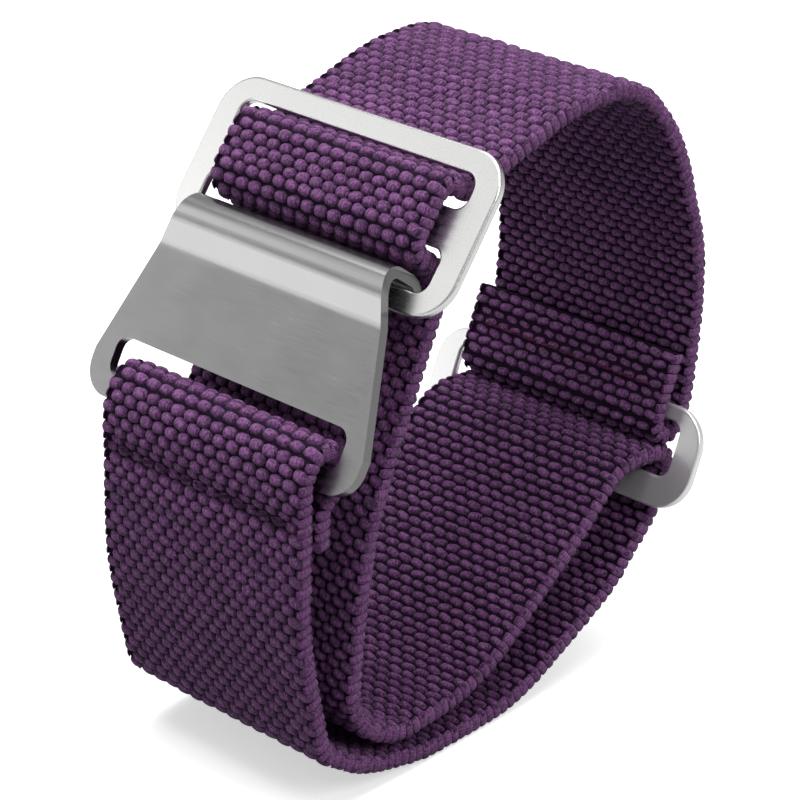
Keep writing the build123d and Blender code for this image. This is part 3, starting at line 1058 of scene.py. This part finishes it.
@dataclass(frozen=True)
class Seam:
    """One sewn row across the web: short bowed stitches of twisted thread.

    Args:
        name: name of the piece.
        node: CAD node that it stands for.
        body: CAD body that it rides on.
        stretch: name of the stretch that it is sewn through.
        side: face of the web that shows the thread.
        thread: material of the thread.
        radius: radius of the thread, in millimetres.
        half_stitch: half of a stitch's length, as a share of the stitches' pitch.
        dip: how deep a stitch's ends go into the web, in millimetres.
        roundness: resolution of the thread's bevel.
    """

    name: str
    node: str
    body: str
    stretch: str
    side: Side
    thread: bpy.types.Material
    radius: float = 0.13
    half_stitch: float = 0.46
    dip: float = 0.42
    roundness: int = 2

    def make(self) -> None:
        """Builds the stitches."""
        stretch = next(s for s in STRETCHES if s.name == self.stretch)
        line = CentreLine(stretch.corners)
        place, normal = line.at(line.last_at_height(stretch.seam))
        curve = bpy.data.curves.new(self.name, "CURVE")
        curve.dimensions = "3D"
        curve.bevel_depth = self.radius * MM
        curve.bevel_resolution = self.roundness
        pitch = (SIZES.width - 2 * SIZES.seam_inset) / SIZES.stitch_count
        off = SIZES.thickness / 2 - SIZES.stitch_depth
        for i in range(SIZES.stitch_count):
            middle = (i - (SIZES.stitch_count - 1) / 2) * pitch
            spline = curve.splines.new("BEZIER")
            spline.bezier_points.add(2)
            shares = (-self.half_stitch, 0.0, self.half_stitch)
            for knot, share, drop in zip(spline.bezier_points, shares, (self.dip, 0.0, self.dip)):
                spot = place + normal * (off - drop) * self.side.value
                knot.co = (spot.x * MM, (middle + share * pitch) * MM, spot.y * MM)
                knot.handle_left_type = knot.handle_right_type = "AUTO"
        thing = linked(self.name + "_curve", curve)
        mesh = baked(thing)
        mesh.materials.clear()
        mesh.materials.append(self.thread)
        piece = linked(self.name, mesh)
        bpy.data.objects.remove(thing)
        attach(piece, self.body)
        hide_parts(self.node)
        log.info("%s: %d stitches", self.name, SIZES.stitch_count)


@dataclass(frozen=True)
class Hardware:
    """The metal pieces and the strands, which keep their CAD meshes and get their finishes."""

    plate: bpy.types.Material
    bars: bpy.types.Material
    loop: bpy.types.Material
    rubber: bpy.types.Material

    def make(self) -> None:
        """Paints the CAD nodes that stay."""
        metal = {"hook_plate": self.plate, "three_bar_adjuster": self.bars, "rear_loop": self.loop}
        for name, node in frame["nodes"].items():
            if name in metal:
                self._paint(node, metal[name])
            elif name.startswith("rubber_strands"):
                self._paint(node, self.rubber)

    @staticmethod
    def _paint(node: bpy.types.Object, material: bpy.types.Material) -> None:
        """Gives every slot of a node one material.

        Args:
            node: the CAD node's object.
            material: the material.
        """
        node.data.materials.clear()
        node.data.materials.append(material)
        log.info("%s painted %s", node.name, material.name)


@dataclass(frozen=True)
class SoftBox:
    """A soft box that looks at the strap: sizes in metres, power in watts."""

    name: str
    place: Triple
    width: float
    height: float
    power: float
    aim: Triple = (0, 0, 0.024)

    def make(self) -> None:
        """Builds the light."""
        data = bpy.data.lights.new(self.name, "AREA")
        data.shape = "RECTANGLE"
        data.size, data.size_y, data.energy = self.width, self.height, self.power
        lamp = linked(self.name, data)
        lamp.location = self.place
        lamp.rotation_euler = (Vector(self.aim) - Vector(self.place)).to_track_quat("-Z", "Y").to_euler()


@dataclass(frozen=True)
class Floor:
    """A pale round floor, which glows for the camera so that it melts into the white backdrop.

    Args:
        name: name of the floor and its material.
        radius: radius in metres.
        sides: number of points on its rim.
        lit: colour that lights the object.
        seen: colour that the camera and the metal see.
        gloss_share: share of the seen colour and glow that the metal sees.
        glow_from: distance in metres from the middle up to which the glow is least.
        glow_to: distance in metres from the middle beyond which the glow is greatest.
        glow: least and greatest strength of the glow.
        roughness: roughness of the floor.
    """

    name: str = "studio_floor"
    radius: float = 1.4
    sides: int = 96
    lit: Color = (0.16, 0.16, 0.17, 1)
    seen: Color = (0.90, 0.90, 0.905, 1)
    gloss_share: float = 0.6
    glow_from: float = 0.10
    glow_to: float = 0.60
    glow: tuple[float, float] = (0.55, 0.98)
    roughness: float = 0.8

    def make(self) -> None:
        """Builds the floor."""
        mesh = bpy.data.meshes.new(self.name)
        turns = [2 * math.pi * k / self.sides for k in range(self.sides)]
        rim = [(self.radius * math.cos(turn), self.radius * math.sin(turn), 0) for turn in turns]
        mesh.from_pydata(rim, [], [tuple(range(self.sides))])
        floor = linked(self.name, mesh)
        paint = Paint(self.name)
        n = paint.nodes
        rays = n.add("ShaderNodeLightPath").outputs
        seen = n.math("MAXIMUM", rays["Is Camera Ray"], n.math("MULTIPLY", rays["Is Glossy Ray"], self.gloss_share))
        far = n.add("ShaderNodeVectorMath", {0: paint.coordinate()}, operation="LENGTH").outputs["Value"]
        glow = n.ranged(far, self.glow_from, self.glow_to, *self.glow)
        mesh.materials.append(paint.finish(
            Base_Color=n.mixed(seen, self.lit, self.seen), Roughness=self.roughness,
            Emission_Color=(1, 1, 1, 1), Emission_Strength=n.math("MULTIPLY", seen, glow)))


@dataclass(frozen=True)
class Backdrop:
    """A white backdrop for the camera, and a softer grey one for what it lights and for what the metal sees."""

    light_level: float = 0.08
    camera_level: float = 0.92
    gloss_level: float = 0.40

    def make(self) -> None:
        """Builds the world."""
        world = bpy.data.worlds.new("studio")
        bpy.context.scene.world = world
        world.use_nodes = True
        n = Nodes(world.node_tree)
        back = n.tree.nodes["Background"].inputs
        rays = n.add("ShaderNodeLightPath").outputs
        plain = n.math("MULTIPLY_ADD", rays["Is Camera Ray"], self.camera_level, self.light_level)
        n.give(n.math("ADD", plain, n.math("MULTIPLY", rays["Is Glossy Ray"], self.gloss_level)), back["Strength"])
        back["Color"].default_value = (1, 1, 1, 1)


@dataclass(frozen=True)
class View:
    """Camera at the photograph's angle, for an image of 800 by 800: angles in degrees, distances in metres."""

    azimuth: float = -46.661
    elevation: float = 25.741
    lens: float = 135.0
    sensor: float = 36.0
    distance: float = 0.21959
    nearest: float = 0.005
    target: Triple = (-0.0014, 0.0, 0.0233)

    def make(self) -> None:
        """Builds the camera."""
        a, e = math.radians(self.azimuth), math.radians(self.elevation)
        back = Vector((math.sin(a) * math.cos(e), -math.cos(a) * math.cos(e), math.sin(e)))
        data = bpy.data.cameras.new("camera")
        data.lens, data.sensor_width, data.clip_start = self.lens, self.sensor, self.nearest
        camera = linked("camera", data)
        camera.location = Vector(self.target) + back * self.distance
        camera.rotation_euler = back.to_track_quat("Z", "Y").to_euler()
        bpy.context.scene.camera = camera


STUDIO = (
    Floor(),
    Backdrop(),
    SoftBox("key_top", (0.02, 0.04, 0.46), 0.42, 0.42, 2.2),
    SoftBox("key_left", (-0.30, 0.26, 0.34), 0.30, 0.24, 0.17),
    SoftBox("fill_front", (-0.06, -0.40, 0.40), 0.30, 0.24, 1.0),
    SoftBox("strip_left", (-0.40, 0.33, 0.075), 0.30, 0.13, 0.24),
    SoftBox("rim_left", (-0.22, 0.44, 0.20), 0.24, 0.24, 0.22),
    SoftBox("back_right", (0.26, 0.04, 0.42), 0.30, 0.30, 0.55),
    View(),
)


def main() -> None:
    """Dresses the strap and sets the stage."""
    bpy.context.scene.view_settings.view_transform = "Standard"
    Web(YarnFinish().make(), GroundShadeFinish().make()).make()
    Seam("hook_seam", "hook_seam_thread", "hook_tab", "hook_fold", Side.RIGHT, HOOK_THREAD.make()).make()
    Seam("rear_seam", "rear_seam_thread", "strap", "rear_fold", Side.LEFT, REAR_THREAD.make()).make()
    Hardware(PLATE_STEEL.make(), BAR_STEEL.make(), LOOP_STEEL.make(), RUBBER.make()).make()
    for thing in STUDIO:
        thing.make()


if __name__ == "__main__":
    logging.basicConfig(level=logging.INFO, format="%(message)s")
    main()
